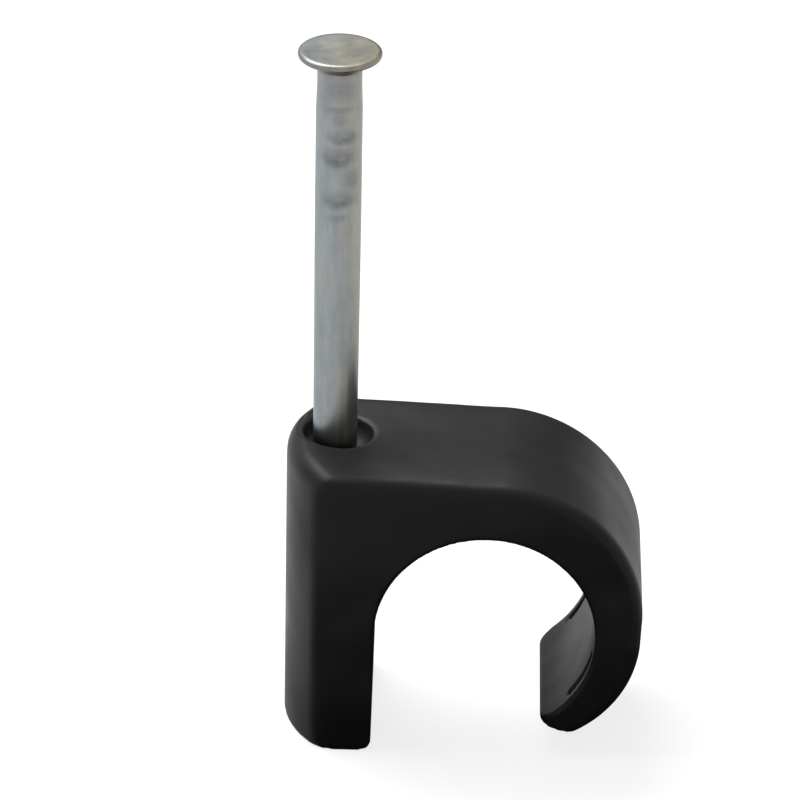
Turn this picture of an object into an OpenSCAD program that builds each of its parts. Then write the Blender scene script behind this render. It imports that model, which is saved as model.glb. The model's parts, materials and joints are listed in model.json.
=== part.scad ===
// Nail-in cable clip for round cable, with its nail standing in the leg as it is sold.
// Millimetres. The wall is the plane Z = 0, the nail runs along Z and the cable along Y.
// The modules build from the nail's axis, and each piece is then moved by middle_x, so that
// the origin lies on the wall under the middle of the part.

/* [Cable channel] */
// Diameter of the largest round cable that the channel takes
cable_d = 10; // [6:0.5:14]
// Gap between the wall and the underside of that cable
cable_lift = 1; // [0.4:0.1:2]
// Gap between the leg and the tip of the hook, where the cable is pressed in
mouth_w = 7.6; // [5:0.1:9]
// Rounding of the channel's two ends
channel_edge_r = 0.12; // [0.06:0.02:0.3]

/* [Leg] */
// Length of the clip along the cable
clip_depth = 8.2; // [6:0.1:12]
// Nail axis to the channel side of the leg
leg_inner = 1.96; // [1.8:0.02:3]
// Nail axis to the outer end of the leg
leg_outer = 2.17; // [2:0.01:3.5]
// Distance of the nail's axis behind the middle of the clip's depth
nail_back = 0.4; // [0:0.1:1]
// Radius of the bowed outer end, seen from above
leg_end_r = 6; // [5:0.1:12]
// Rounding of the upright corners beside the bowed end
leg_corner_r = 1.4; // [0.6:0.1:2]
// Rounding of the top edge round the bowed end
leg_rim_r = 0.9; // [0.3:0.05:1.2]
// Draft of the leg's channel side, in degrees
leg_draft = 1.1; // [0.5:0.1:2]
// Rounding of the foot's edge on the channel side
foot_edge_r = 0.45; // [0.2:0.05:0.8]
// Rounding of the foot's edge round the bowed end
foot_rim_r = 0.15; // [0.1:0.05:0.4]

/* [Arm and hook] */
// Wall over the crown of the channel
crown_wall = 2.8; // [1.5:0.01:4]
// Wall at the side of the channel that is away from the nail
side_wall = 2.13; // [1.2:0.01:3]
// How much larger the crown's outer radius is than the cable's
crown_over = 1.8; // [1.2:0.1:3]
// How much larger the hook's outer radius is than the cable's
hook_over = 0.6; // [0.4:0.1:1.5]
// Straight run of the arm's outer side between the crown and the hook
side_run = 1; // [0.2:0.1:2]
// Fall of the top face from the nail to the crown, in degrees
top_fall = 2.5; // [0:0.5:5]
// Rounding of the outer edges
edge_r = 0.5; // [0.2:0.05:0.8]
// Height of the hook's rounded tip over the wall
tip_lift = 1.65; // [1:0.05:2.5]
// Rounding of the tip
tip_r = 0.25; // [0.15:0.05:0.4]
// Rounding of the tip's two corners, seen from below
tip_corner_r = 0.9; // [0.3:0.1:1]
// Fall of the hook's end face, in degrees
toe_fall = 15; // [5:1:25]
// Rounding of the hook's lowest corner
toe_r = 0.4; // [0.3:0.05:0.9]
// Slope of the lead-in above the tip, in degrees
lead_slope = 50; // [45:1:60]
// Width of the two relief slots in the hook's inner face
slot_w = 0.3; // [0.2:0.05:0.5]
// Depth of the relief slots
slot_deep = 0.3; // [0.1:0.05:0.5]
// Distance of each slot from the clip's end
slot_inset = 0.55; // [0.5:0.05:1.2]
// Where the slots start, in degrees below the middle of the channel
slot_start = 12; // [5:1:15]
// How far the slots run round the channel, in degrees
slot_sweep = 27; // [20:1:30]

/* [Nail] */
// Diameter of the nail's shank
nail_d = 2; // [1.4:0.1:2.6]
// Length of the nail with its head
nail_len = 30; // [22:0.5:45]
// Height of the nail's point over the wall before it is driven
nail_point_lift = 3.05; // [1:0.05:8]
// Diameter of the nail's head
head_d = 3.75; // [3:0.05:5]
// Thickness of the head's rim
head_t = 0.35; // [0.25:0.05:0.8]
// Height of the cone under the head
head_cone_h = 0.45; // [0.2:0.05:1]
// Length of the diamond point
point_len = 2.4; // [1.5:0.1:4]
// Radial clearance between the nail and its bore
nail_clearance = 0.05; // [0.02:0.01:0.1]
// Diameter of the mouth of the nail's bore, at the top
bore_mouth_d = 3.7; // [3:0.1:4]
// Shift of that mouth from the nail's axis, away from the leg's thin outer end
bore_mouth_shift = 0.15; // [0:0.05:0.3]
// Depth of that mouth
bore_mouth_deep = 1.4; // [1:0.1:3]
// Rounding of the mouth's lip
bore_lip_r = 0.25; // [0.1:0.05:0.4]
// Number of gripper marks under the head
grip_marks = 5; // [0:1:8]
// Distance of the first gripper mark below the head's cone
grip_start = 1.95; // [0.8:0.05:4]
// Spacing of the gripper marks
grip_pitch = 1.05; // [0.7:0.05:2]
// Depth of the gripper marks
grip_deep = 0.07; // [0.03:0.01:0.15]
// Radius of the bottom of each gripper mark
grip_r = 0.3; // [0.2:0.05:0.5]
// Turn of the gripper marks from the front of the nail, in degrees
grip_turn = 15; // [0:5:45]

/* [Hidden] */

$fn = 96;
round_steps = 8;
over = 1;

cable_r = cable_d / 2;
cable_x = leg_inner + cable_r;
cable_z = cable_lift + cable_r;
half_depth = clip_depth / 2;

crown_r = cable_r + crown_over;
hook_r = cable_r + hook_over;
crown_x = cable_x + cable_r + side_wall - crown_r;
crown_z = cable_z + cable_r + crown_wall - crown_r;
hook_x = crown_x + (crown_r - hook_r) * cos(top_fall) - side_run * sin(top_fall);
hook_z = crown_z - (crown_r - hook_r) * sin(top_fall) - side_run * cos(top_fall);
hook_sweep = 85;
end_x = leg_end_r - leg_outer;
middle_x = (crown_x + crown_r - leg_outer) / 2;

toe_dir = [cos(toe_fall), -sin(toe_fall)];
toe_out = [-sin(toe_fall), -cos(toe_fall)];
tip_centre = [leg_inner + mouth_w + tip_r, tip_lift];
toe_centre = toe_centre_over(tip_centre + toe_out * (tip_r - toe_r));
toe_start = atan2(toe_centre.y - hook_z, toe_centre.x - hook_x);
graze = 0.02;
foot_x = leg_inner + graze - (cable_z - foot_edge_r) * tan(leg_draft);

nail_r = nail_d / 2;
nail_top = nail_point_lift + nail_len;
bore_mouth_r = bore_mouth_d / 2;

// Height of the sloping top face over the wall at a distance x from the nail's axis
function top_at(x) = crown_z + (crown_r - (x - crown_x) * sin(top_fall)) / cos(top_fall);

// Points along an arc, from one angle to another
function arc_points(centre, r, from, to) =
    [for (i = [0:round_steps]) let (a = from + (to - from) * i / round_steps)
        centre + r * [cos(a), sin(a)]];

// A point that carries the line from q through p on by a length
function beyond(p, q, length) = p + (p - q) / norm(p - q) * length;

// Centre of a rounding that lies inside the hook's outer arc and above the line through base
function toe_centre_over(base) =
    let (to_axis = [hook_x, hook_z] - base, along = to_axis * toe_dir,
         off = norm(to_axis - along * toe_dir))
    base + toe_dir * (along + sqrt(pow(hook_r - toe_r, 2) - pow(off, 2)));

// A rectangle from one corner to the other, with its two corners at the far x rounded
module rounded_bar(from, to, r_low, r_high) {
    polygon([from, [to.x - r_low, from.y], [to.x, from.y + r_low], [to.x, to.y - r_high],
             [to.x - r_high, to.y], [from.x, to.y]]);
    translate([to.x - r_low, from.y + r_low]) circle(r_low);
    translate([to.x - r_high, to.y - r_high]) circle(r_high);
}

// Cross section of the arm, with its two outer edges rounded
module arm_section(inner, outer) {
    rounded_bar([inner, -half_depth], [outer, half_depth], edge_r, edge_r);
}

// The block of the leg and top, the crown, the straight side and the hook, as sweeps of one section
module arm_blank() {
    translate([crown_x, 0, crown_z]) rotate([0, top_fall, 0]) {
        rotate([0, -90, 0]) linear_extrude(crown_x + leg_outer + over)
            arm_section(-crown_z - over, crown_r);
        rotate([90, 0, 0]) rotate_extrude(angle = 90) arm_section(over, crown_r);
        translate([0, 0, -side_run]) {
            linear_extrude(side_run) arm_section(over, crown_r);
            translate([crown_r - hook_r, 0, 0]) rotate([-90, 0, 0])
                rotate_extrude(angle = hook_sweep) arm_section(over, hook_r);
        }
    }
}

// The bowed end of the leg, with its top and foot rims rounded
module bowed_end() {
    top = top_at(-leg_outer);
    translate([end_x, 0, 0]) {
        rotate_extrude() rounded_bar([0, 0], [leg_end_r, top], foot_rim_r, leg_rim_r);
        translate([0, -clip_depth, 0]) cube([cable_x + hook_r, 2 * clip_depth, top]);
    }
}

// Plan of the clip with its two upright corners rounded into the bowed end
module corner_plan() {
    height = top_at(-leg_outer) + over;
    y = half_depth - leg_corner_r;
    x = end_x - sqrt(pow(leg_end_r - leg_corner_r, 2) - pow(y, 2));
    far = end_x + cable_x + hook_r;
    lean = beyond([x, y], [end_x, 0], leg_corner_r + over);
    linear_extrude(height) polygon([[far, -clip_depth], [far, clip_depth], [x, clip_depth], [x, y],
        lean, [-leg_outer - over, 0], [lean.x, -lean.y], [x, -y], [x, -clip_depth]]);
    for (side = [-1, 1]) translate([x, side * y, 0]) cylinder(r = leg_corner_r, h = height);
}

// The round channel, with its two ends opened by a small rounding
module channel() {
    flat = half_depth - channel_edge_r;
    lip = cable_r + channel_edge_r;
    translate([cable_x, 0, cable_z]) rotate([90, 0, 0]) rotate_extrude() {
        translate([0, -half_depth - over]) square([cable_r, clip_depth + 2 * over]);
        for (side = [0, 1]) mirror([0, side]) difference() {
            translate([0, flat]) square([lip, channel_edge_r + over]);
            translate([lip, flat]) circle(channel_edge_r);
        }
    }
}

// The open mouth under the channel: leg side, foot edge, toe, tip and lead-in
module mouth() {
    foot = arc_points([foot_x - foot_edge_r, foot_edge_r], foot_edge_r, 0, -90);
    toe = arc_points(toe_centre, toe_r, toe_start, -90 - toe_fall);
    tip = arc_points(tip_centre, tip_r, 270 - toe_fall, 90 + lead_slope);
    lead_end = tip[len(tip) - 1] + cable_lift * [cos(lead_slope), sin(lead_slope)];
    rotate([90, 0, 0]) linear_extrude(clip_depth + 2 * over, center = true) polygon(concat(
        [[cable_x, cable_z], [leg_inner + graze, cable_z - graze]],
        foot, [beyond(foot[round_steps], foot[round_steps - 1], over)],
        [[cable_x + 2 * hook_r, -over], beyond(toe[0], toe[1], over)],
        toe, tip, [lead_end]));
}

// The two corners that are rounded off the hook's tip
module tip_corners() {
    for (side = [0, 1]) mirror([0, side, 0])
        translate([leg_inner + mouth_w + tip_corner_r, half_depth - tip_corner_r, 0])
            linear_extrude(tip_lift + tip_corner_r) difference() {
                translate([-tip_corner_r - over, 0]) square(tip_corner_r + over);
                circle(tip_corner_r);
            }
}

// Two relief slots in the hook's inner face, one near each end of the clip
module grip_slots() {
    for (side = [-1, 1])
        translate([cable_x, side * (half_depth - slot_inset - slot_w / 2), cable_z])
            rotate([-90, 0, 0]) rotate([0, 0, slot_start]) rotate_extrude(angle = slot_sweep)
                translate([cable_r - over, -slot_w / 2]) square([slot_deep + over, slot_w]);
}

// The nail's bore, with a rounded mouth that the head covers when it is driven home
module nail_bore() {
    top = top_at(0);
    floor_z = top - bore_mouth_deep;
    bore_r = nail_r + nail_clearance;
    throat_r = bore_mouth_r - bore_lip_r;
    translate([0, nail_back, 0]) {
        translate([0, 0, -over]) cylinder(r = bore_r, h = top + 2 * over);
        translate([bore_mouth_shift, 0, 0]) rotate_extrude() polygon(concat(
            [[0, floor_z], [bore_r, floor_z], [throat_r, floor_z + throat_r - bore_r]],
            arc_points([bore_mouth_r, top - bore_lip_r], bore_lip_r, 180, 90),
            [[bore_mouth_r, top + over], [0, top + over]]));
    }
}

// The clip: one moulding of leg, arm and hook
module clip() {
    color([0.09, 0.09, 0.09]) translate([-middle_x, 0, 0]) difference() {
        intersection() {
            arm_blank();
            bowed_end();
            corner_plan();
        }
        channel();
        mouth();
        tip_corners();
        grip_slots();
        nail_bore();
    }
}

// The nail: drawn wire with an upset head, gripper marks and a cut diamond point
module nail() {
    head_bottom = nail_top - head_t;
    rim = head_t / 2;
    first_mark = head_bottom - head_cone_h - grip_start;
    color([0.72, 0.73, 0.72]) translate([-middle_x, nail_back, 0]) difference() {
        rotate_extrude() polygon(concat(
            [[0, nail_point_lift], [nail_r, nail_point_lift], [nail_r, head_bottom - head_cone_h]],
            arc_points([head_d / 2 - rim, head_bottom + rim], rim, -90, 90),
            [[0, nail_top]]));
        for (turn = [0:90:270])
            translate([0, 0, nail_point_lift]) rotate([0, 0, turn + 45])
                rotate([0, atan2(nail_r, point_len), 0])
                    translate([0, -nail_d, -nail_d]) cube([nail_d, 2 * nail_d, point_len + 2 * nail_d]);
        for (i = [0:1:grip_marks - 1], side = [0, 180])
            rotate([0, 0, side + grip_turn])
                translate([0, grip_deep - grip_r - nail_r, first_mark - i * grip_pitch])
                    rotate([0, 90, 0]) cylinder(r = grip_r, h = nail_d, center = true);
    }
}

clip();
nail();
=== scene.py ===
# %% [markdown]
# # A nail-in cable clip, dressed in Blender
# The clip holds a round cable against a wall. It is one black moulding with a leg, an arm and a hook,
# and a plated nail waits in the leg until it is hammered home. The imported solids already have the
# right form and size, so they are loaded first and never moved. This lesson gives them soft edges,
# finishes, light and a camera.

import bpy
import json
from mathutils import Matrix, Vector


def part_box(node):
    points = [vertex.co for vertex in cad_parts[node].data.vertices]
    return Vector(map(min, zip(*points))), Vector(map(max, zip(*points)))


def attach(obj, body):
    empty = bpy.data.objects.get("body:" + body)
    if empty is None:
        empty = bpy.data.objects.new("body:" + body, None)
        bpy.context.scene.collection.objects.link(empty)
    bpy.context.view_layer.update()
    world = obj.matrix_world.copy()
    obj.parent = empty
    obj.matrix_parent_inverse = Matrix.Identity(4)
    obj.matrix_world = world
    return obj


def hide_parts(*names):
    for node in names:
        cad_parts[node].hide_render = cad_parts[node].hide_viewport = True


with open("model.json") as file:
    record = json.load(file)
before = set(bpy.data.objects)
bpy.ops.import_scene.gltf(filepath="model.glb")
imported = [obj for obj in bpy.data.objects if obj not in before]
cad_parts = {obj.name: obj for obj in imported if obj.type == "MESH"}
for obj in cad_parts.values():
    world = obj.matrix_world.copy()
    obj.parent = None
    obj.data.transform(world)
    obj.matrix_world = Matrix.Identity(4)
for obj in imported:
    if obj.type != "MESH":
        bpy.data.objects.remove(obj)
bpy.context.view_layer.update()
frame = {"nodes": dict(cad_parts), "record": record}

# %% [markdown]
# ## Sizes to hang everything on
# A size that the frame already knows is read from it and not typed again, so that the dressed pieces
# follow the solids. Blender works in metres here, and the object is shorter than a thumb, so the
# metre sizes of the nail and the studio are mostly written as a number of millimetres times MM. The
# moulding is worked in plain millimetres until it is finished.

# %% Read the sizes from the frame
import json
import math

import bmesh
import bpy
import numpy as np
from mathutils import Matrix, Quaternion, Vector

MM = 0.001
clip_low, clip_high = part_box("clip")
nail_low, nail_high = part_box("nail")
mounts = {mount["name"]: mount for mount in frame["record"]["mounts"]}
channel_axis = Vector(mounts["cable_channel"]["pos_m"])
channel_r = mounts["cable_channel"]["dims"]["r_mm"]
nail_axis = (nail_low + nail_high) / 2
head_r = (nail_high.x - nail_low.x) / 2
print("channel axis in mm:", [round(x / MM, 2) for x in channel_axis], "radius", channel_r)
print("nail from", round(nail_low.z / MM, 2), "to", round(nail_high.z / MM, 2), "mm")

# %% [markdown]
# ## The moulding
# A moulded clip has no truly sharp edge: each corner of the steel mould is a little round, and the
# plastic shrinks as it cools. Bevelling the solid's triangles would need clean quads round every
# edge. Remeshing a copy into small even squares and relaxing them softens every edge alike, and the
# flat faces stay flat, so that is the way taken here. The work is done in millimetres, because in
# metres the squares would be close to the smallest that the remesher allows.

# %% Helpers to copy, relax and bake a piece
WELD = 0.0005


def copy_of(node, name):
    """A welded copy of a solid in millimetres, as an object of its own."""
    mesh = frame["nodes"][node].data.copy()
    work = bmesh.new()
    work.from_mesh(mesh)
    bmesh.ops.scale(work, vec=Vector((1, 1, 1)) / MM, verts=work.verts)
    bmesh.ops.remove_doubles(work, verts=work.verts, dist=WELD)
    work.to_mesh(mesh)
    work.free()
    mesh.materials.clear()
    piece = bpy.data.objects.new(name, mesh)
    bpy.context.scene.collection.objects.link(piece)
    return piece


def relax(piece, passes, group=""):
    """Adds a smoothing that draws each point, or a group's, half way to its neighbours' middle."""
    smoothing = piece.modifiers.new("relax", "SMOOTH")
    smoothing.factor = 0.5
    smoothing.iterations = passes
    smoothing.vertex_group = group


def apply_modifiers(piece):
    """Bakes a piece's modifiers into its mesh."""
    graph = bpy.context.evaluated_depsgraph_get()
    baked = bpy.data.meshes.new_from_object(piece.evaluated_get(graph))
    piece.modifiers.clear()
    piece.data = baked


moulding = copy_of("clip", "clip_moulding")
print("welded copy of the clip:", len(moulding.data.polygons), "faces")

# %% Remesh and relax the copy
SQUARE = 0.105
EDGE_PASSES = 4

remesh = moulding.modifiers.new("even squares", "REMESH")
remesh.mode = "VOXEL"
remesh.voxel_size = SQUARE
relax(moulding, EDGE_PASSES)
apply_modifiers(moulding)
print("remeshed moulding:", len(moulding.data.polygons), "faces")

# %% [markdown]
# The solid arrives as flat facets, and a satin skin would show each of them as a stripe. The clip has
# only a few round faces: cylinders, and rings where a rounded edge follows a bend. Each is given here
# by its axis, its radius and the angles that it spans. A point that already lies within a hair of such
# a face, and looks the same way, is pulled on to it. More smoothing would hide the stripes too, but it
# would eat the edges.

# %% The clip's true round faces
# in mm, with the sweep, the hook's end and the top's fall in degrees
EDGE_R = 0.5
CHANNEL_SWEEP = (-58, 179)
CROWN_R = 6.8
CROWN_FROM_CHANNEL = Vector((0.33, 0, 1.0))
HOOK_R = 5.6
HOOK_FROM_CHANNEL = Vector((1.485, 0, -0.051))
HOOK_END = -88
TOP_FALL = 2.5
BOW_R = 6.0
BOW_TOP = 14.22
BOW_RIM_R = 0.9
CORNER_R = 1.4
BORE_R = 1.05

along_y = Vector((0, 1, 0))
along_z = Vector((0, 0, 1))
channel = channel_axis / MM
half_depth = (clip_high.y - clip_low.y) / 2 / MM
bow = Vector((clip_low.x / MM + BOW_R, 0, 0))
corner_y = half_depth - CORNER_R
corner_x = bow.x - math.sqrt((BOW_R - CORNER_R) ** 2 - corner_y**2)
bore = Vector((nail_axis.x, nail_axis.y, 0)) / MM

bow_half = math.degrees(math.atan2(corner_y, bow.x - corner_x))
crown_sweep = (-TOP_FALL, 90 - TOP_FALL)
hook_sweep = (HOOK_END, -TOP_FALL)
bow_sweep = (180 - bow_half, 180 + bow_half)

# axis point, axis direction, radius, and the first and last degree from +X
CYLINDERS = [
    (channel, along_y, channel_r, CHANNEL_SWEEP),
    (channel + CROWN_FROM_CHANNEL, along_y, CROWN_R, crown_sweep),
    (channel + HOOK_FROM_CHANNEL, along_y, HOOK_R, hook_sweep),
    (bow, along_z, BOW_R, bow_sweep),
    (Vector((corner_x, corner_y, 0)), along_z, CORNER_R, (90, bow_sweep[0])),
    (Vector((corner_x, -corner_y, 0)), along_z, CORNER_R, (bow_sweep[1], 270)),
    (bore, along_z, BORE_R, (0, 360)),
]
# the same, with the section's place along the axis and its radius at the end
RINGS = [(bow, along_z, BOW_R - BOW_RIM_R, bow_sweep, BOW_TOP - BOW_RIM_R, BOW_RIM_R)]
for side in (-1, 1):
    edge = side * (half_depth - EDGE_R)
    RINGS.append((channel + CROWN_FROM_CHANNEL, along_y, CROWN_R - EDGE_R, crown_sweep, edge, EDGE_R))
    RINGS.append((channel + HOOK_FROM_CHANNEL, along_y, HOOK_R - EDGE_R, hook_sweep, edge, EDGE_R))
print(len(CYLINDERS), "cylinders and", len(RINGS), "rings")

# %% Helpers to find and pull the points of a round face
HAIR = 0.03
SAME_WAY = 0.97


def round_the_axis(spots, spot, axis, sweep):
    """Distance from an axis, direction away from it, place along it, and the points within the sweep."""
    from_spot = spots - np.array(spot)
    along = from_spot @ np.array(axis)
    outward = from_spot - along[:, None] * np.array(axis)
    distance = np.linalg.norm(outward, axis=1)
    first, last = sweep
    climb = outward[:, 2] if axis is along_y else outward[:, 1]
    degrees = np.degrees(np.arctan2(climb, outward[:, 0]))
    swept = (degrees - first) % 360 <= last - first
    return distance, outward / distance[:, None], along, swept


def pull(spots, normals, off, way, within):
    """Moves the points that are a hair off a face, and look its way, by what they are off."""
    alike = np.abs((normals * way).sum(axis=1)) > SAME_WAY
    near = (np.abs(off) < HAIR) & alike & within
    spots[near] -= off[near, None] * way[near]
    return int(near.sum())


print("points within", HAIR, "mm of a round face will be pulled on to it")

# %% Pull the points on to the round faces
count = len(moulding.data.vertices)
spots = np.empty(count * 3)
normals = np.empty(count * 3)
moulding.data.vertices.foreach_get("co", spots)
moulding.data.vertices.foreach_get("normal", normals)
spots = spots.reshape(-1, 3)
normals = normals.reshape(-1, 3)
pulled = 0
for spot, axis, radius, sweep in CYLINDERS:
    distance, outward, along, swept = round_the_axis(spots, spot, axis, sweep)
    pulled += pull(spots, normals, distance - radius, outward, swept)
for spot, axis, ring_r, sweep, place, section_r in RINGS:
    distance, outward, along, swept = round_the_axis(spots, spot, axis, sweep)
    across = np.stack([distance - ring_r, along - place], axis=1)
    reach = np.linalg.norm(across, axis=1)
    way = (across[:, :1] * outward + across[:, 1:] * np.array(axis)) / reach[:, None]
    outer = swept & (across[:, 0] > 0) & (across[:, 1] * place > 0)
    pulled += pull(spots, normals, reach - section_r, way, outer)
print(pulled, "pulls on", count, "points")

# %% [markdown]
# A round recess in the top waits for the nail's head. On the real clip it stands a little further back
# than in the solid. Cutting it anew would leave a ragged lip in a mesh of squares, so the points in and
# round it slide back together, and the slide fades out in the flat top beside it and in the leg below.

# %% Slide the recess back
RECESS_ASIDE = 0.15
RECESS_BACK = 0.25
SLIDE_R = 2.6
SLIDE_FADE = 0.7
SLIDE_ABOVE = 13.0
SLIDE_RISE = 0.5

recess = bore + Vector((RECESS_ASIDE, 0, 0))
from_recess = np.hypot(spots[:, 0] - recess.x, spots[:, 1] - recess.y)
beside = np.clip((SLIDE_R - from_recess) / SLIDE_FADE, 0, 1)
slide = RECESS_BACK * beside * np.clip((spots[:, 2] - SLIDE_ABOVE) / SLIDE_RISE, 0, 1)
spots[:, 1] += slide
recess.y += RECESS_BACK
print(np.count_nonzero(slide), "points of the recess slid back by up to", round(slide.max(), 2), "mm")

# %% [markdown]
# The top isn't quite flat. It starts to fall about two millimetres before its front edge, so that the
# light swells there before the edge turns dark. Beside the bore, on the arm's side, the plastic is
# thick, and thick plastic sinks as it cools. A wider bevel would move the edge itself, so each point
# that faces up goes down a little instead, by how near it is to the front edge and to the bore. The
# channel's own face is left out.

# %% Let the top fall and sink
EASE_WIDE = 2.2
EASE_DEEP = 0.18
SINK_WIDE = 2.2
SINK_DEEP = 0.3
SINK_ASIDE = 2.0

from_edge = half_depth + spots[:, 1]
eased = np.clip(1 - from_edge / EASE_WIDE, 0, 1) ** 2
from_bore = np.hypot(spots[:, 0] - bore.x, spots[:, 1] - bore.y)
sunk = np.exp(-((from_bore / SINK_WIDE) ** 2))
sunk *= np.clip((spots[:, 0] - bore.x) / SINK_ASIDE + 0.5, 0, 1)
outside = ((spots - np.array(channel)) * normals)[:, [0, 2]].sum(axis=1) > 0
lowered = (EASE_DEEP * eased + SINK_DEEP * sunk) * np.clip(normals[:, 2], 0, 1) * outside
spots[:, 2] -= lowered
moulding.data.vertices.foreach_set("co", spots.ravel())
print("top lowered by up to", round(lowered.max(), 2), "mm")

# %% [markdown]
# The straight part of the top is softer than the crown, while the lip of the recess is crisp. More
# passes over the whole piece would melt the lip and the hook's tip, so the straight part's points go
# into a group that is relaxed for longer. The group leaves out the lip and fades out where the crown
# begins.

# %% Relax the straight top and finish the moulding
LAST_PASSES = 2
STRAIGHT_PASSES = 18
STRAIGHT_TO = 2.5
STRAIGHT_ABOVE = 11
STRAIGHT_FADE = 1.5
LIP_R = 2.0
LIP_FADE = 0.5

leftward = np.clip((STRAIGHT_TO - spots[:, 0]) / STRAIGHT_FADE, 0, 1)
upward = np.clip((spots[:, 2] - STRAIGHT_ABOVE) / STRAIGHT_FADE, 0, 1)
from_recess = np.hypot(spots[:, 0] - recess.x, spots[:, 1] - recess.y)
off_lip = np.clip((from_recess - LIP_R) / LIP_FADE, 0, 1)
share = leftward * upward * off_lip
straight_top = moulding.vertex_groups.new(name="straight_top")
for index in np.flatnonzero(share):
    straight_top.add([int(index)], share[index], "REPLACE")
relax(moulding, LAST_PASSES)
relax(moulding, STRAIGHT_PASSES, straight_top.name)
apply_modifiers(moulding)
moulding.data.transform(Matrix.Scale(MM, 4))
moulding.data.shade_smooth()
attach(moulding, "clip_body")
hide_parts("clip")
moulding.data.calc_loop_triangles()
print("moulding:", len(moulding.data.loop_triangles), "triangles")

# %% [markdown]
# ## The nail
# The nail is cut from drawn wire: dies grip it and leave dents, a punch upsets the head, and two
# cutters pinch the four-sided point. Every cross section is nearly round, so the whole nail is one
# formula: the radius at a height and an angle. A grid of points on that radius becomes the mesh. A
# spun profile would be shorter to write, but it could have neither dents nor a four-sided point.

# %% Radius of the nail at any height and angle
SHANK_R = 1.0 * MM
POINT_LEN = 2.4 * MM
HEAD_T = 0.35 * MM
CONE_H = 0.45 * MM
ROUND_TURN = 2 * math.pi
QUARTER = math.pi / 2

head_under = nail_high.z - HEAD_T
cone_start = head_under - CONE_H
rim_r = HEAD_T / 2


def point_radius(height, angle):
    """Radius of the four-sided point, which grows out of the shank's round."""
    flat = (height - nail_low.z) * SHANK_R / POINT_LEN
    turned = angle % QUARTER - QUARTER / 2
    return np.minimum(SHANK_R, flat / np.cos(turned))


def plain_radius(height):
    """Radius of the shank, the cone under the head and the head's rim, without the point."""
    cone = SHANK_R + (head_r - rim_r - SHANK_R) * np.clip((height - cone_start) / CONE_H, 0, 1)
    over = np.clip(height - head_under, 0, HEAD_T) - rim_r
    rim = head_r - rim_r + np.sqrt(np.clip(rim_r**2 - over**2, 0, None))
    return np.where(height > head_under, rim, cone)


print("shank radius in mm:", SHANK_R / MM, "head rim from", round(head_under / MM, 2), "mm")

# %% [markdown]
# The dies' teeth leave a row of dents on the front of the shank below the head, and again behind. The
# highest is a broad smudge on the neck. The others are shallow ovals, and some are so worn that
# little more than their lower rim is left, as a crescent. One formula with a few numbers for each dent
# gives them all, so that no two look stamped from one mould.

# %% Gripper dents
DENT_DEEP = 0.06 * MM
# place and width of a worn dent's rim, as shares of the dent's half size
RIM_AT = 0.8
RIM_WIDE = 0.5

# for each dent, in mm: place below the head's cone and to the side, half width and half height;
# then the share of it that is only a lower rim, and its share of the full depth
DENTS = (
    (0.75, 0.04, 0.62, 0.62, 0.0, 0.45),
    (1.74, 0.02, 0.62, 0.20, 0.0, 0.45),
    (2.15, 0.06, 0.30, 0.40, 0.2, 0.45),
    (2.97, 0.17, 0.56, 0.40, 0.6, 0.80),
    (4.00, -0.04, 0.62, 0.46, 0.4, 0.95),
    (5.10, 0.62, 0.26, 0.42, 0.2, 0.40),
    (6.06, 0.02, 0.58, 0.42, 0.6, 0.85),
    (7.02, 0.00, 0.40, 0.20, 0.0, 0.35),
)


def dent_depth(height, angle):
    """Depth of the dents at a height and an angle, for two rows on opposite sides."""
    depth = np.zeros(height.shape)
    for front in (-QUARTER, QUARTER):
        aside = SHANK_R * np.sin(angle - front)
        facing = np.cos(angle - front) > 0
        for down, side, half_w, half_h, worn, share in DENTS:
            across = (aside / MM - side) / half_w
            up = ((height - cone_start) / MM + down) / half_h
            reach = np.hypot(across, up)
            oval = np.exp(-(reach**3))
            rim = np.exp(-(((reach - RIM_AT) / RIM_WIDE) ** 2)) * np.clip(0.5 - up, 0, 1)
            dent = share * (worn * rim + (1 - worn) * oval)
            depth = np.maximum(depth, DENT_DEEP * dent * facing)
    return depth


print(len(DENTS), "dents on each side, none deeper than", round(DENT_DEEP / MM, 2), "mm")

# %% [markdown]
# Where the dies pinch the wire from the front and behind, it gives way to the sides. So the shank is a
# little wider beside the dents, and the swelling fades out slowly below them. A thicker shank would be
# wider all round, so the swelling is a term of its own that grows towards the two sides.

# %% Swelling beside the dents
SWELL = 0.04 * MM
SWELL_FROM = 0.8
SWELL_RISE = 1.2
SWELL_TO = 18
SWELL_FADE = 11


def swelling(height, angle):
    """How far the dies have squeezed the wire out sideways, most beside the dents."""
    from_top = (cone_start - height) / MM
    rise = np.clip((from_top - SWELL_FROM) / SWELL_RISE, 0, 1)
    fade = np.clip((SWELL_TO - from_top) / SWELL_FADE, 0, 1)
    return SWELL * rise * fade * np.cos(angle) ** 2


print("shank wider by up to", round(2 * SWELL / MM, 2), "mm beside the dents")

# %% [markdown]
# With the radius known, the rows of the grid are chosen: close together in the point, the dents and
# the rim, wide apart on the plain shank. Rings that shrink to a point close the top of the head, which
# the punch left a little dished.

# %% Points of the nail
ROUND_STEPS = 144
POINT_ROWS = 40
SHANK_ROWS = 50
DENT_ROWS = 200
CONE_ROWS = 16
RIM_ROWS = 14
TOP_RINGS = 14
HEAD_DISH = 0.02 * MM
POINT_END = 1.45 * POINT_LEN
TIP_START = 0.02 * POINT_LEN
DENTS_LONG = 7.6 * MM

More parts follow.
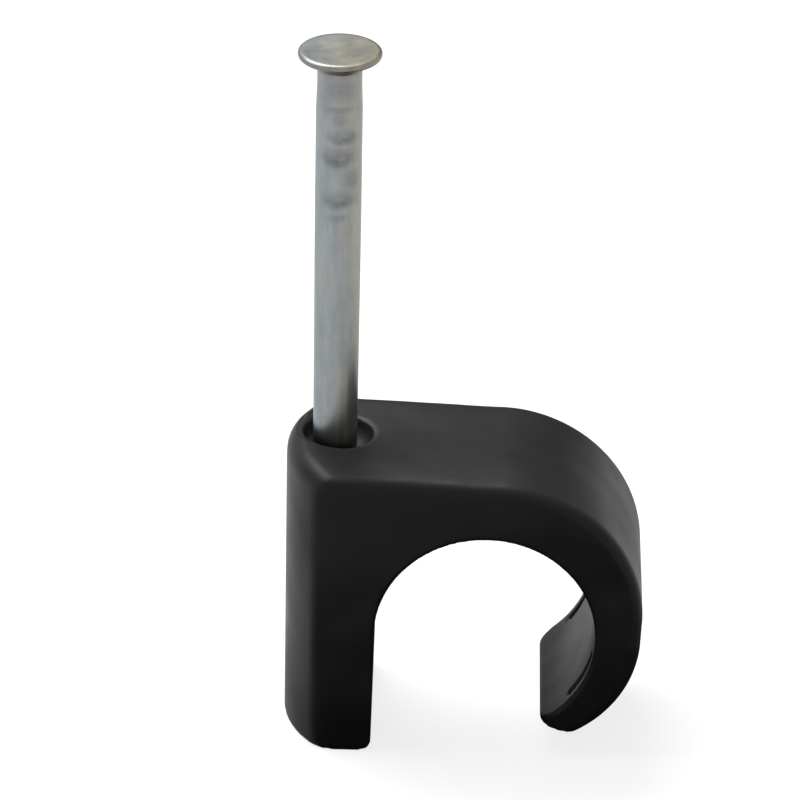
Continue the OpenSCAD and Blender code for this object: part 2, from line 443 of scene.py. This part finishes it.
dents_end = cone_start - DENTS_LONG
rows = np.concatenate(
    [
        nail_low.z + np.linspace(TIP_START, POINT_END, POINT_ROWS, endpoint=False),
        np.linspace(nail_low.z + POINT_END, dents_end, SHANK_ROWS, endpoint=False),
        np.linspace(dents_end, cone_start, DENT_ROWS, endpoint=False),
        np.linspace(cone_start, head_under, CONE_ROWS, endpoint=False),
        head_under + rim_r * (1 - np.cos(np.linspace(0, math.pi, RIM_ROWS))),
    ]
)
angles = np.arange(ROUND_STEPS) * ROUND_TURN / ROUND_STEPS
row_grid, angle_grid = np.meshgrid(rows, angles, indexing="ij")
dents = dent_depth(row_grid, angle_grid)
shank = np.where(row_grid < cone_start, point_radius(row_grid, angle_grid), head_r)
radius = np.minimum(plain_radius(row_grid), shank) + swelling(row_grid, angle_grid) - dents
shares = np.linspace(1, 0, TOP_RINGS + 1)[1:-1]
top_share, top_angle = np.meshgrid(shares, angles, indexing="ij")
all_r = np.vstack([radius, (head_r - rim_r) * top_share])
all_z = np.vstack([row_grid, nail_high.z - HEAD_DISH * (1 - top_share**2)])
all_a = np.vstack([angle_grid, top_angle])
spread = [nail_axis.x + all_r * np.cos(all_a), nail_axis.y + all_r * np.sin(all_a), all_z]
points = np.stack(spread, axis=-1).reshape(-1, 3)
print(len(points), "points in", len(all_r), "rings, deepest dent", round(dents.max() / MM, 3), "mm")

# %% [markdown]
# Each ring of points is joined to the next by four-sided faces, and a fan of triangles closes each end.
# Blender's own bridge tool could join the rings, but by number no ring is ever twisted. The depth of the
# dents is kept on the mesh as an attribute, because the dirt and a painted shade will lie in them.

# %% Faces of the nail
DENT_MARK = "dent"

levels = len(all_r)
faces = []
for level in range(levels - 1):
    for step in range(ROUND_STEPS):
        here = level * ROUND_STEPS + step
        beside = level * ROUND_STEPS + (step + 1) % ROUND_STEPS
        faces.append((here, beside, beside + ROUND_STEPS, here + ROUND_STEPS))
bottom, top = len(points), len(points) + 1
last = (levels - 1) * ROUND_STEPS
for step in range(ROUND_STEPS):
    beside = (step + 1) % ROUND_STEPS
    faces.append((bottom, beside, step))
    faces.append((last + step, last + beside, top))
ends = [(nail_axis.x, nail_axis.y, nail_low.z), (nail_axis.x, nail_axis.y, nail_high.z - HEAD_DISH)]
nail_mesh = bpy.data.meshes.new("driving_nail")
nail_mesh.from_pydata(points.tolist() + ends, [], faces)
dent_mark = nail_mesh.attributes.new(DENT_MARK, "FLOAT", "POINT")
marks = np.zeros(len(points) + len(ends), dtype=np.float32)
marks[: dents.size] = dents.ravel() / DENT_DEEP
dent_mark.data.foreach_set("value", marks)
nail_mesh.shade_smooth()
nail = bpy.data.objects.new("driving_nail", nail_mesh)
bpy.context.scene.collection.objects.link(nail)
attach(nail, "nail_body")
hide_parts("nail")
print("nail:", len(faces), "faces")

# %% [markdown]
# ## Tools for the finishes
# Both finishes are drawn by nodes, and not painted on an image, so that they are sharp at any distance
# and need no unwrapping. Linked by hand, such a tree is long to read. The helpers below each stand for
# one move: add a node, spread or mix a value, ramp it to a colour, tint one colour with another.

# %% Helpers to start a material and add a node
def new_material(name):
    """A material with its node tree and its principled shader."""
    material = bpy.data.materials.new(name)
    material.use_nodes = True
    tree = material.node_tree
    shader = tree.nodes["Principled BSDF"]
    return material, tree, shader


def add_node(tree, kind, settings=None, **inputs):
    """A node with its properties set, and its inputs set or linked by name."""
    node = tree.nodes.new(kind)
    for name, value in (settings or {}).items():
        setattr(node, name, value)
    for name, value in inputs.items():
        socket = node.inputs[name.replace("_", " ")]
        if isinstance(value, bpy.types.NodeSocket):
            tree.links.new(value, socket)
        else:
            socket.default_value = value
    return node


print("pieces to finish:", moulding.name, "and", nail.name)

# %% Helpers for values and colours
WHITE = (1.0, 1.0, 1.0)


def grey(level):
    """A neutral colour."""
    return (level, level, level)


def ranged(tree, value, first, last, at_first=0.0, at_last=1.0):
    """A value that goes from at_first to at_last while its source goes from first to last."""
    node = add_node(
        tree, "ShaderNodeMapRange", Value=value,
        From_Min=first, From_Max=last, To_Min=at_first, To_Max=at_last,
    )
    return node.outputs["Result"]


def mixed(tree, share, first, second):
    """Two values mixed by a share."""
    node = add_node(tree, "ShaderNodeMix", {"data_type": "FLOAT"}, Factor=share, A=first, B=second)
    return node.outputs["Result"]


def combined(tree, operation, first, second):
    """Two values put together by one operation of the math node."""
    node = add_node(tree, "ShaderNodeMath", {"operation": operation})
    tree.links.new(first, node.inputs[0])
    tree.links.new(second, node.inputs[1])
    return node.outputs["Value"]


def add_ramp(tree, source, stops):
    """A colour ramp on a value, from a list of places and colours."""
    ramp = add_node(tree, "ShaderNodeValToRGB", Fac=source)
    elements = ramp.color_ramp.elements
    while len(elements) < len(stops):
        elements.new(1.0)
    for element, (place, colour) in zip(elements, stops):
        element.position = place
        element.color = (*colour, 1.0)
    return ramp.outputs["Color"]


def tinted(tree, colour, tint):
    """One colour multiplied by another."""
    node = add_node(
        tree, "ShaderNodeMixRGB", {"blend_type": "MULTIPLY"}, Fac=1.0, Color1=colour, Color2=tint
    )
    return node.outputs["Color"]


print("a tint of white leaves a colour as it is:", WHITE)

# %% [markdown]
# ## Black polyethylene
# The moulding is black all through, with a satin skin: the mould's spark-eroded steel leaves a fine
# grain, and the flat faces are never quite true. A paler colour is painted in the recess round the nail,
# as painted light that lifts the recess's shade a little. A second material on the recess's faces would
# end in steps along the squares, so a mask by the distance from the recess's axis lays the painted light.
# It reaches down the bore to the foot as well, where it is hardly seen.

# %% Painted light in the recess
RECESS_R = 1.85
PAINTED_LIFT_FADE = 0.1
# a paler black painted in the recess, as painted light that lifts its shade
RECESS_PAINTED_LIFT = grey(0.028)


def with_painted_lift(tree, place, colour):
    """A colour with a paler colour painted in the recess round the nail and straight below, as painted
    light that lifts its shade.
    """
    level = add_node(
        tree, "ShaderNodeMapping", Vector=place, Scale=(1, 1, 0),
        Location=(-recess.x * MM, -recess.y * MM, 0),
    )
    out = add_node(tree, "ShaderNodeVectorMath", {"operation": "LENGTH"}, Vector=level.outputs["Vector"])
    inside = ranged(tree, out.outputs["Value"], RECESS_R * MM, (RECESS_R - PAINTED_LIFT_FADE) * MM)
    lifted = add_node(tree, "ShaderNodeMixRGB", Fac=inside, Color1=colour, Color2=(*RECESS_PAINTED_LIFT, 1))
    return lifted.outputs["Color"]


print("painted_lift within", RECESS_R, "mm of", [round(x, 2) for x in recess.xy])

# %% [markdown]
# The skin itself could be one roughness and one bump, but then it would look like paint. Noise at three
# sizes gives it life: a fine grain and a slow wave in the bump, and patches in the colour and the
# roughness that are a little paler and duller than others.

# %% Make the black plastic
PATCHES_PER_M = 260
GRAIN_PER_M = 9000
WAVES_PER_M = 280
DEEP_BLACK = (0.0065, 0.0065, 0.007)
PALE_BLACK = grey(0.011)
SATIN = grey(0.36)
DULL = grey(0.48)
WAVE_DEEP = 0.25 * MM
GRAIN_DEEP = 0.02 * MM
SKIN_GLOSS = 0.15


def black_plastic():
    """The moulding's finish: black polyethylene with a satin skin."""
    material, tree, shader = new_material("black_polyethylene")
    place = add_node(tree, "ShaderNodeTexCoord").outputs["Object"]
    patches = add_node(
        tree, "ShaderNodeTexNoise", Vector=place, Scale=PATCHES_PER_M, Detail=4, Roughness=0.6
    ).outputs["Fac"]
    grain = add_node(tree, "ShaderNodeTexNoise", Vector=place, Scale=GRAIN_PER_M, Detail=3, Roughness=0.7)
    wave = add_node(tree, "ShaderNodeTexNoise", Vector=place, Scale=WAVES_PER_M, Detail=1, Roughness=0.4)
    colour = add_ramp(tree, patches, [(0.3, DEEP_BLACK), (0.7, PALE_BLACK)])
    rough = add_ramp(tree, patches, [(0.25, SATIN), (0.75, DULL)])
    slow = add_node(tree, "ShaderNodeBump", Strength=0.8, Distance=WAVE_DEEP, Height=wave.outputs["Fac"])
    fine = add_node(
        tree, "ShaderNodeBump", Strength=0.12, Distance=GRAIN_DEEP, Height=grain.outputs["Fac"],
        Normal=slow.outputs["Normal"],
    )
    tree.links.new(with_painted_lift(tree, place, colour), shader.inputs["Base Color"])
    tree.links.new(rough, shader.inputs["Roughness"])
    tree.links.new(fine.outputs["Normal"], shader.inputs["Normal"])
    shader.inputs["Specular IOR Level"].default_value = SKIN_GLOSS
    return material


moulding.data.materials.append(black_plastic())
print("moulding's finish:", moulding.data.materials[0].name)

# %% [markdown]
# ## Zinc plate
# The plating is thin and dull, and its passivation is blue on one side of the nail and straw on the
# other. The colour is also a little darker on the neck under the head, and darker on the head. One tint
# from side to side would have a border like a ruler's, so clouds of noise that are stretched along the
# nail bend it.

# %% Noise and tints of the plate
BLUE_SIDE = (0.30, 0.342, 0.362)
MIDDLE = (0.325, 0.335, 0.328)
STRAW_SIDE = (0.37, 0.357, 0.302)
CLOUDS_BEND = 0.5
NECK_LONG = 2.4 * MM
NECK_TINT = (0.97, 0.94, 0.96)
HEAD_TINT = (0.74, 0.7, 0.64)


def wire_noise(tree, place, per_metre, detail, roughness):
    """Noise with its own number of waves in a metre across and along the wire."""
    across, along = per_metre
    stretched = add_node(tree, "ShaderNodeMapping", Vector=place, Scale=(across, across, along))
    node = add_node(
        tree, "ShaderNodeTexNoise", Vector=stretched.outputs["Vector"],
        Scale=1, Detail=detail, Roughness=roughness,
    )
    return node.outputs["Fac"]


def side_tint(tree, across, clouds):
    """Blue on the nail's left and straw on its right, with clouds that bend the border."""
    side = ranged(tree, across, nail_axis.x - head_r, nail_axis.x + head_r)
    bent = mixed(tree, CLOUDS_BEND, side, clouds)
    return add_ramp(tree, bent, [(0.3, BLUE_SIDE), (0.5, MIDDLE), (0.7, STRAW_SIDE)])


def neck_tint(tree, up):
    """White on the shank, a little darker on the neck, and darker on the head."""
    under_head = ranged(tree, up, cone_start - NECK_LONG, cone_start)
    stops = [(0.0, WHITE), (0.45, NECK_TINT), (0.9, NECK_TINT), (1.0, HEAD_TINT)]
    return add_ramp(tree, under_head, stops)


print("neck of", round(NECK_LONG / MM, 2), "mm under the head's cone")

# %% [markdown]
# The dents hold a little dirt, and a painted shade darkens them as well. Painted spots would have to be
# placed by hand, so the dents' own depth, kept on the mesh as an attribute, lays the dirt and the painted
# shade, and specks of noise break them up.

# %% Dirt and painted shade in the dents
SPECKS_PER_M = 3400
LEAST_DIRT_AND_SHADE = grey(0.6)
# the dents' dark colour: dirt, with painted shade in the hollows
DIRT_AND_SHADE_COLOUR = (0.1, 0.113, 0.122)


def dirtied_and_shaded(tree, place, plate):
    """The plate's colour with dirt and a painted shade in its dents."""
    specks = add_node(
        tree, "ShaderNodeTexNoise", Vector=place, Scale=SPECKS_PER_M, Detail=2, Roughness=0.6
    )
    broken = add_ramp(tree, specks.outputs["Fac"], [(0.3, LEAST_DIRT_AND_SHADE), (0.65, WHITE)])
    dent = add_node(tree, "ShaderNodeAttribute", {"attribute_name": DENT_MARK})
    dirt_and_shade = combined(tree, "MULTIPLY", dent.outputs["Fac"], broken)
    dirty_and_shaded = add_node(tree, "ShaderNodeMixRGB", Fac=dirt_and_shade, Color1=plate, Color2=(*DIRT_AND_SHADE_COLOUR, 1))
    return dirty_and_shaded.outputs["Color"]


print("dirt on", np.count_nonzero(marks > 0.1), "of", len(marks), "points")

# %% [markdown]
# The wire's drawing lines run along the shank and stop at the head, which the punch has pressed smooth.
# They are far too fine for the mesh, so they lie in the colour, the roughness and the bump. They also
# stretch the shine: the shank mirrors more sharply along the wire than across it. The shader's
# anisotropy gives that, with a tangent that runs round the nail, and it fades out on the head.

# %% Make the zinc plate
LINES_PER_M = (5200, 140)
CLOUDS_PER_M = (600, 200)
MOTTLE_PER_M = (1900, 600)
STREAK = (0.87, 0.87, 0.88)
MOTTLED = (0.82, 0.85, 0.86)
BRIGHT = grey(0.33)
MATT = grey(0.45)
LINES_DEEP = 0.012 * MM
GROOVED = 0.65


def zinc_plate():
    """The nail's finish: a thin, dull plate on drawn wire."""
    material, tree, shader = new_material("zinc_plate")
    place = add_node(tree, "ShaderNodeTexCoord").outputs["Object"]
    spot = add_node(tree, "ShaderNodeSeparateXYZ", Vector=place)
    up = spot.outputs["Z"]
    on_head = ranged(tree, up, cone_start, head_under)
    lines = wire_noise(tree, place, LINES_PER_M, detail=4, roughness=0.5)
    clouds = wire_noise(tree, place, CLOUDS_PER_M, detail=3, roughness=0.6)
    mottle = wire_noise(tree, place, MOTTLE_PER_M, detail=3, roughness=0.65)
    drawing = mixed(tree, on_head, lines, clouds)
    streaks = add_ramp(tree, drawing, [(0.3, STREAK), (0.7, WHITE)])
    patches = add_ramp(tree, mottle, [(0.32, MOTTLED), (0.62, WHITE)])
    plate = side_tint(tree, spot.outputs["X"], clouds)
    for layer in (streaks, patches, neck_tint(tree, up)):
        plate = tinted(tree, plate, layer)
    rough = add_ramp(tree, drawing, [(0.25, BRIGHT), (0.75, MATT)])
    bump = add_node(tree, "ShaderNodeBump", Strength=0.18, Distance=LINES_DEEP, Height=drawing)
    round_wire = add_node(tree, "ShaderNodeTangent", {"direction_type": "RADIAL", "axis": "Z"})
    grooved = ranged(tree, on_head, 0.0, 1.0, GROOVED, 0.0)
    tree.links.new(dirtied_and_shaded(tree, place, plate), shader.inputs["Base Color"])
    tree.links.new(rough, shader.inputs["Roughness"])
    tree.links.new(bump.outputs["Normal"], shader.inputs["Normal"])
    tree.links.new(round_wire.outputs["Tangent"], shader.inputs["Tangent"])
    tree.links.new(grooved, shader.inputs["Anisotropic"])
    shader.inputs["Metallic"].default_value = 1.0
    return material


nail.data.materials.append(zinc_plate())
print("nail's finish:", nail.data.materials[0].name)

# %% [markdown]
# ## A white studio
# The clip stands on a white sweep that runs into a white room. The floor is white to the camera and in
# reflections, and it still takes the clip's soft shadow, because a part of its brightness there comes
# from the lamps. Further out, where the lamps don't reach, its own glow makes up for them. More light
# would whiten the floor too, but it would bleach the clip. The floor lies a hair below the foot, so
# that the two faces don't share one plane and flicker.

# %% Helpers for the studio
def seen_white(tree):
    """One where a ray comes from the camera, a reflection or glass, and nought for other light."""
    path = add_node(tree, "ShaderNodeLightPath")
    seen = path.outputs["Is Camera Ray"]
    for other in ("Is Glossy Ray", "Is Transmission Ray"):
        seen = combined(tree, "MAXIMUM", seen, path.outputs[other])
    return seen


def matt_sheet(name, corners, shade):
    """A flat sheet of the studio, with a matt finish of one grey."""
    mesh = bpy.data.meshes.new(name)
    mesh.from_pydata([Vector(corner) for corner in corners], [], [tuple(range(len(corners)))])
    material, tree, shader = new_material(name)
    shader.inputs["Base Color"].default_value = (*grey(shade), 1)
    shader.inputs["Roughness"].default_value = 1.0
    shader.inputs["Specular IOR Level"].default_value = 0.0
    mesh.materials.append(material)
    sheet = bpy.data.objects.new(name, mesh)
    bpy.context.scene.collection.objects.link(sheet)
    return sheet, tree, shader


print("finished pieces:", [piece.name for piece in (moulding, nail)])

# %% Lay the floor
FLOOR_HALF = 0.8
FLOOR_DROP = 0.02 * MM
FLOOR_SHADE = 0.3
FLOOR_GLOW = 0.8
GLOW_FROM = 0.06
GLOW_FULL = 0.25

square = ((-1, -1), (1, -1), (1, 1), (-1, 1))
floor_corners = [(FLOOR_HALF * x, FLOOR_HALF * y, -FLOOR_DROP) for x, y in square]
floor, floor_tree, floor_shader = matt_sheet("white_sweep", floor_corners, FLOOR_SHADE)
floor_place = add_node(floor_tree, "ShaderNodeTexCoord").outputs["Object"]
away = add_node(floor_tree, "ShaderNodeVectorMath", {"operation": "LENGTH"}, Vector=floor_place)
growth = ranged(floor_tree, away.outputs["Value"], GLOW_FROM, GLOW_FULL, FLOOR_GLOW, 1.0)
glow = combined(floor_tree, "MULTIPLY", seen_white(floor_tree), growth)
floor_tree.links.new(glow, floor_shader.inputs["Emission Strength"])
floor_shader.inputs["Emission Color"].default_value = (*WHITE, 1)
print(floor.name, "is", 2 * FLOOR_HALF, "m wide")

# %% [markdown]
# The room is white to the camera and in reflections too, and gives the object a softer light of its
# own. Walls could be built, but Blender's world is a room without corners, so it is used here.

# %% Paint the room
ROOM_FILL = 0.3

room = bpy.data.worlds.new("white_room")
room.use_nodes = True
room_tree = room.node_tree
air = room_tree.nodes["Background"]
air.inputs["Color"].default_value = (*WHITE, 1)
strength = ranged(room_tree, seen_white(room_tree), 0.0, 1.0, ROOM_FILL, 1.0)
room_tree.links.new(strength, air.inputs["Strength"])
bpy.context.scene.world = room
print(room.name, "fills the shade with a light of", ROOM_FILL)

# %% [markdown]
# Two soft lamps shape the form. One hangs behind and above the clip, where the rounded front edge of
# the top mirrors it as a pale line. The other stands high on the left, for the leg's bowed end and its
# rim. A sun would draw hard shadows and sharp spots, so both are square lamps that are large beside so
# small a thing.

# %% Hang the lamps
LAMP_SIZE = 0.2

# place in metres, and watts
LAMPS = {
    "left_lamp": ((-0.2, 0.06, 0.3), 0.7),
    "top_lamp": ((-0.085, 0.18, 0.345), 1.15),
}


def soft_lamp(name, place, watts):
    """A square lamp that faces the clip."""
    data = bpy.data.lights.new(name, "AREA")
    data.size = LAMP_SIZE
    data.energy = watts
    lamp = bpy.data.objects.new(name, data)
    lamp.location = place
    lamp.rotation_mode = "QUATERNION"
    lamp.rotation_quaternion = (channel_axis - lamp.location).to_track_quat("-Z", "Y")
    bpy.context.scene.collection.objects.link(lamp)
    return lamp


for name, (place, watts) in LAMPS.items():
    lamp = soft_lamp(name, place, watts)
    print(lamp.name, "hangs", round((lamp.location - channel_axis).length, 2), "m away")

# %% [markdown]
# A black thing in an all-white room turns grey, because its skin mirrors the room. A darker room would
# grey the picture, so dark cards lie where the skin looks, as in a photographer's studio. A black mat on
# the floor before the clip keeps the front face deep, and round the clip's foot it is a painted shadow
# that the low faces mirror. Paler mats to the right and behind take the glare off the sides, and the one
# at the left foot is a painted shadow that the leg's bowed end mirrors low down. A dark card that stands
# far behind calms the top. The cards show in reflections only, so that the floor stays white.

# %% Helpers for the cards
MAT_LIFT = 0.05


def reflection_card(name, corners, shade):
    """A card that only reflections can see."""
    card = matt_sheet(name, corners, shade)[0]
    card.visible_camera = False
    card.visible_diffuse = False
    card.visible_shadow = False
    return card


def standing(foot_line, height):
    """Corners of a card that stands on a line of the floor."""
    low = [Vector((x, y, 0)) * MM for x, y in foot_line]
    return low + [foot + height * MM * along_z for foot in reversed(low)]


def lying(outline):
    """Corners of a card that lies on the floor."""
    return [Vector((x, y, MAT_LIFT)) * MM for x, y in outline]


print("mats lie", MAT_LIFT, "mm above the foot's plane")

# %% Lay the cards
# the black mat: a dark card before the clip, and round its foot a painted shadow that the low faces
# mirror
BLACK_MAT = (
    (-25, -15), (-2, -17), (5, -32), (10, -32), (12, -18),
    (20, -12), (20, 8), (-6, 8), (-6, -4), (-25, -4),
)
BLACK_SHADE = 0.03
# outline in mm, and shade: right, behind, and a painted shadow at the left foot
GREY_MATS = (
    (((20, -38), (52, -38), (52, -12), (20, -12)), 0.87),
    (((0, 8), (30, 8), (30, 45), (0, 45)), 0.72),
    (((-12, -4), (-6, -4), (-6, 5), (-12, 5)), 0.6),
)
BACK_CARD = ((-100, 220), (115, 191))
BACK_CARD_H = 125
BACK_SHADE = 0.27

cards = [reflection_card("black_mat", lying(BLACK_MAT), BLACK_SHADE)]
for outline, shade in GREY_MATS:
    cards.append(reflection_card("grey_mat", lying(outline), shade))
cards.append(reflection_card("grey_card", standing(BACK_CARD, BACK_CARD_H), BACK_SHADE))
print("cards:", [card.name for card in cards])

# %% [markdown]
# ## Camera
# A long lens from 300 mm away looks down on the clip at a little under 30 degrees. The place of the
# channel in the picture, measured once in its 800 pixels, sets where the lens points: the aim is moved
# sideways and up from the channel by that many pixels. Shifting the lens would frame it as well, but
# then every other view would be shifted too.

# %% Find where the camera stands and looks
PICTURE = 800
CHANNEL_PIXEL = (486.3, 594.0)
PIXELS_PER_MM = 21.82
CAMERA_AWAY = 300 * MM
ELEVATION = math.radians(29.22)
AZIMUTH = math.radians(-0.41)
ROLL = math.radians(1.04)

level_away = math.cos(ELEVATION)
back = Vector((math.sin(AZIMUTH) * level_away, -math.cos(AZIMUTH) * level_away, math.sin(ELEVATION)))
turn = (-back).to_track_quat("-Z", "Y") @ Quaternion((0, 0, 1), ROLL)
right = turn @ Vector((1, 0, 0))
up = turn @ Vector((0, 1, 0))
aside = (PICTURE / 2 - CHANNEL_PIXEL[0]) / PIXELS_PER_MM * MM
above = (CHANNEL_PIXEL[1] - PICTURE / 2) / PIXELS_PER_MM * MM
aim = channel_axis + right * aside + up * above
eye = channel_axis + back * CAMERA_AWAY
print("camera at", [round(x / MM) for x in eye], "looks at", [round(x / MM) for x in aim], "in mm")

# %% Place the camera
SENSOR_MM = 36

lens = bpy.data.cameras.new("studio_camera")
lens.sensor_width = SENSOR_MM
lens.lens = SENSOR_MM * PIXELS_PER_MM * CAMERA_AWAY / MM / PICTURE
lens.clip_start = 0.01
lens.clip_end = 10
camera = bpy.data.objects.new("studio_camera", lens)
camera.location = eye
camera.rotation_mode = "QUATERNION"
camera.rotation_quaternion = (aim - eye).to_track_quat("-Z", "Y") @ Quaternion((0, 0, 1), ROLL)
bpy.context.scene.collection.objects.link(camera)
bpy.context.scene.camera = camera
bpy.context.scene.view_settings.view_transform = "Standard"
print("lens of", round(lens.lens, 1), "mm")
